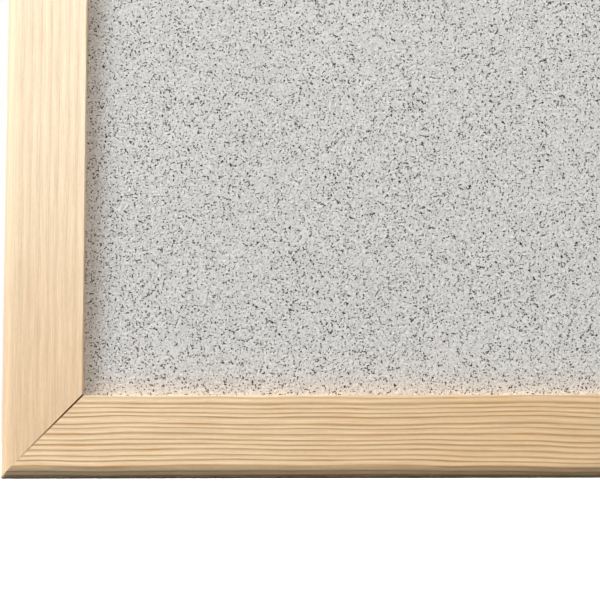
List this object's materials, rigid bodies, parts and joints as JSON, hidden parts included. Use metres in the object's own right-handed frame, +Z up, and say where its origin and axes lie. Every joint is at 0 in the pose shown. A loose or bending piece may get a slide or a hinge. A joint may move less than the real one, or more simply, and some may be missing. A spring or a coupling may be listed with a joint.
{
  "type": "cork notice board",
  "caption": "Rectangular wall notice board: a coloured cork sheet on a soft pinning board, set in a mitred wooden frame, with hanging rings and wall bumpers on its back.",
  "frame": {"origin": "on the wall plane, midway between the two wall hooks, at the height where they bear on the raised rings", "axes": "+X along the board's width, to the right seen from the front; +Z up as hung; the cork faces -Y and the wall is at +Y"},
  "size_m": [0.6, 0.023, 0.4],
  "materials": {
    "pine_frame": "natural, planed and sanded, thin matt lacquer",
    "grey_cork": "fine cork granules coloured pale grey, matt, with small dark pits",
    "softboard": "pressed soft wood fibre, matt",
    "hardboard": "pressed hard wood fibre with a screen texture behind",
    "bright_steel": "bare bright steel strip",
    "zinc_plated_steel": "zinc plated, satin",
    "bumper_rubber": "matt moulded rubber"
  },
  "bodies": {
    "board": {"back_panel": "hardboard", "bottom_left_nail_inner": "bright_steel", "bottom_left_nail_outer": "bright_steel", "bottom_rail": "pine_frame", "bottom_rail_point_1": "bright_steel", "bottom_rail_point_2": "bright_steel", "bottom_rail_point_3": "bright_steel", "bottom_rail_point_4": "bright_steel", "bottom_right_nail_inner": "bright_steel", "bottom_right_nail_outer": "bright_steel", "cork_sheet": "grey_cork", "left_bumper": "bumper_rubber", "left_hanger_screw_lower": "zinc_plated_steel", "left_hanger_screw_upper": "zinc_plated_steel", "left_hanger_strap": "zinc_plated_steel", "left_stile": "pine_frame", "left_stile_point_1": "bright_steel", "left_stile_point_2": "bright_steel", "right_bumper": "bumper_rubber", "right_hanger_screw_lower": "zinc_plated_steel", "right_hanger_screw_upper": "zinc_plated_steel", "right_hanger_strap": "zinc_plated_steel", "right_stile": "pine_frame", "right_stile_point_1": "bright_steel", "right_stile_point_2": "bright_steel", "softboard_core": "softboard", "top_left_nail_inner": "bright_steel", "top_left_nail_outer": "bright_steel", "top_rail": "pine_frame", "top_rail_point_1": "bright_steel", "top_rail_point_2": "bright_steel", "top_rail_point_3": "bright_steel", "top_rail_point_4": "bright_steel", "top_right_nail_inner": "bright_steel", "top_right_nail_outer": "bright_steel"},
    "left_ring": {"left_hanger_ring": "zinc_plated_steel"},
    "right_ring": {"right_hanger_ring": "zinc_plated_steel"}
  },
  "joints": [
    {"name": "left_ring_swing", "type": "hinge", "parent": "board", "child": "left_ring", "pos_m": [-0.289, -0.00285, -0.013], "axis": [1, 0, 0], "range_deg": [0, 175]},
    {"name": "right_ring_swing", "type": "hinge", "parent": "board", "child": "right_ring", "pos_m": [0.289, -0.00285, -0.013], "axis": [1, 0, 0], "range_deg": [0, 175]}
  ]
}
